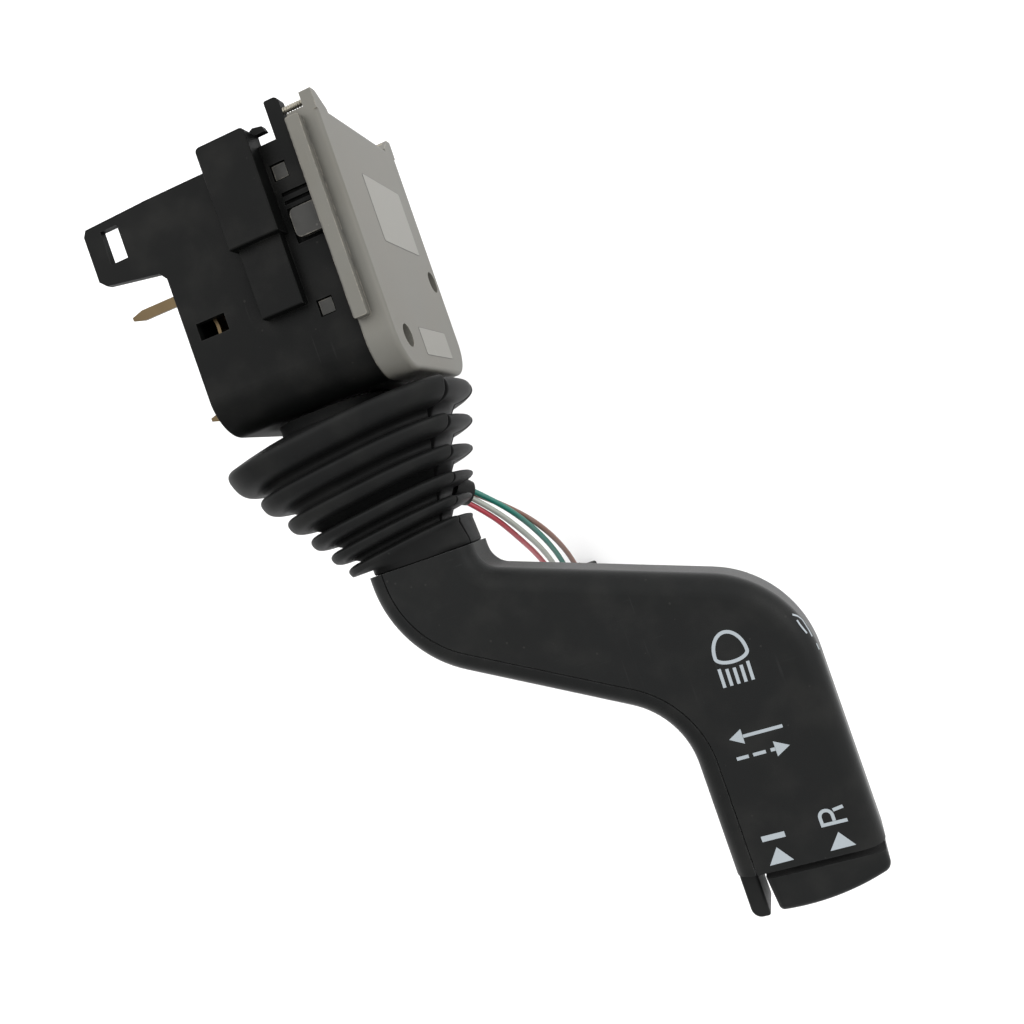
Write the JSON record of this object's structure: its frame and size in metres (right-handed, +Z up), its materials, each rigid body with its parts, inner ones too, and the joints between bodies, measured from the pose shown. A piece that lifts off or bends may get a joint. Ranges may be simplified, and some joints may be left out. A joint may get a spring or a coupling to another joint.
{
  "type": "combination stalk switch",
  "caption": "Steering column stalk switch: plug-in switch block, rubber bellows and cranked lever for lights and indicators, with a rocker and an off button at its tip.",
  "frame": {"origin": "midway between the two guide rails of the cover, at their lower, stop end", "axes": "+Y the way the switch slides into the column, +X out of the grey cover, +Z up in the car, out of the face with the symbols"},
  "size_m": [0.1316, 0.2168, 0.1135],
  "materials": {
    "housing": "fine-grained black moulding",
    "cover": "warm light grey moulding",
    "stalk": "satin black moulding",
    "bellows": "dark grey rubber",
    "terminal": "tinned brass",
    "steel": "plain",
    "board": "brown laminate",
    "acetal": "natural white",
    "button": "satin black moulding",
    "dome_rubber": "soft",
    "wire_green": "soft insulation",
    "wire_white": "soft insulation",
    "wire_red": "soft insulation",
    "wire_brown": "soft insulation"
  },
  "bodies": {
    "switch_block": {"base_housing": "housing", "side_cover": "cover", "cover_screws": "steel", "terminal_blades": "terminal", "bus_strip": "terminal", "contact_board": "board", "fixed_contacts": "terminal", "detent_track": "acetal", "finger_pin": "steel", "finger_spring": "steel"},
    "indicator_carrier": {"carrier": "acetal", "lever_pin": "steel", "moving_contacts": "terminal", "indicator_spring": "steel"},
    "indicator_detent": {"indicator_plunger": "steel"},
    "lever": {"lever_arm": "steel", "beam_spring": "steel", "boot": "bellows", "front_shell": "stalk", "back_shell": "stalk", "clamp_pin": "steel", "rocker_pin": "steel", "rocker_board": "board", "rocker_domes": "dome_rubber", "button_pin": "steel", "button_spring": "steel", "lead_outlet": "bellows", "lead_green": "wire_green", "lead_white": "wire_white", "lead_red": "wire_red", "lead_brown": "wire_brown", "connector": "housing"},
    "beam_detent": {"beam_plunger": "steel"},
    "cruise_rocker": {"rocker": "button"},
    "speed_off_button": {"off_button": "button"},
    "cancelling_finger": {"cancel_finger": "acetal"}
  },
  "joints": [
    {"name": "indicator_swing", "type": "hinge", "parent": "switch_block", "child": "indicator_carrier", "pos_m": [-0.022, 0.002, 0], "axis": [1, 0, 0], "range_deg": [-8, 8], "deforming": ["boot"]},
    {"name": "beam_swing", "type": "hinge", "parent": "indicator_carrier", "child": "lever", "pos_m": [-0.022, 0.002, 0], "axis": [0, 0, 1], "range_deg": [-6, 6], "deforming": ["boot"]},
    {"name": "indicator_click", "type": "slide", "parent": "indicator_carrier", "child": "indicator_detent", "axis": [0, 1, 0], "range_m": [-0.001, 0], "stiffness_N_per_m": 1000, "springref_m": 0.002, "deforming": ["indicator_spring"]},
    {"name": "beam_click", "type": "slide", "parent": "lever", "child": "beam_detent", "axis": [0, 1, 0], "range_m": [-0.001, 0], "stiffness_N_per_m": 1000, "springref_m": 0.002, "deforming": ["beam_spring"]},
    {"name": "rocker_tilt", "type": "hinge", "parent": "lever", "child": "cruise_rocker", "pos_m": [0.0556, -0.147, 0], "axis": [0, 0, 1], "range_deg": [-4, 4], "stiffness_Nm_per_rad": 0.5},
    {"name": "off_press", "type": "hinge", "parent": "lever", "child": "speed_off_button", "pos_m": [0.0383, -0.1472, 0], "axis": [0, 0, 1], "range_deg": [0, 6], "stiffness_Nm_per_rad": 0.2, "deforming": ["button_spring"]},
    {"name": "finger_trip", "type": "hinge", "parent": "switch_block", "child": "cancelling_finger", "pos_m": [-0.022, 0.035, 0], "axis": [1, 0, 0], "range_deg": [-12, 12], "stiffness_Nm_per_rad": 0.1, "deforming": ["finger_spring"]}
  ]
}
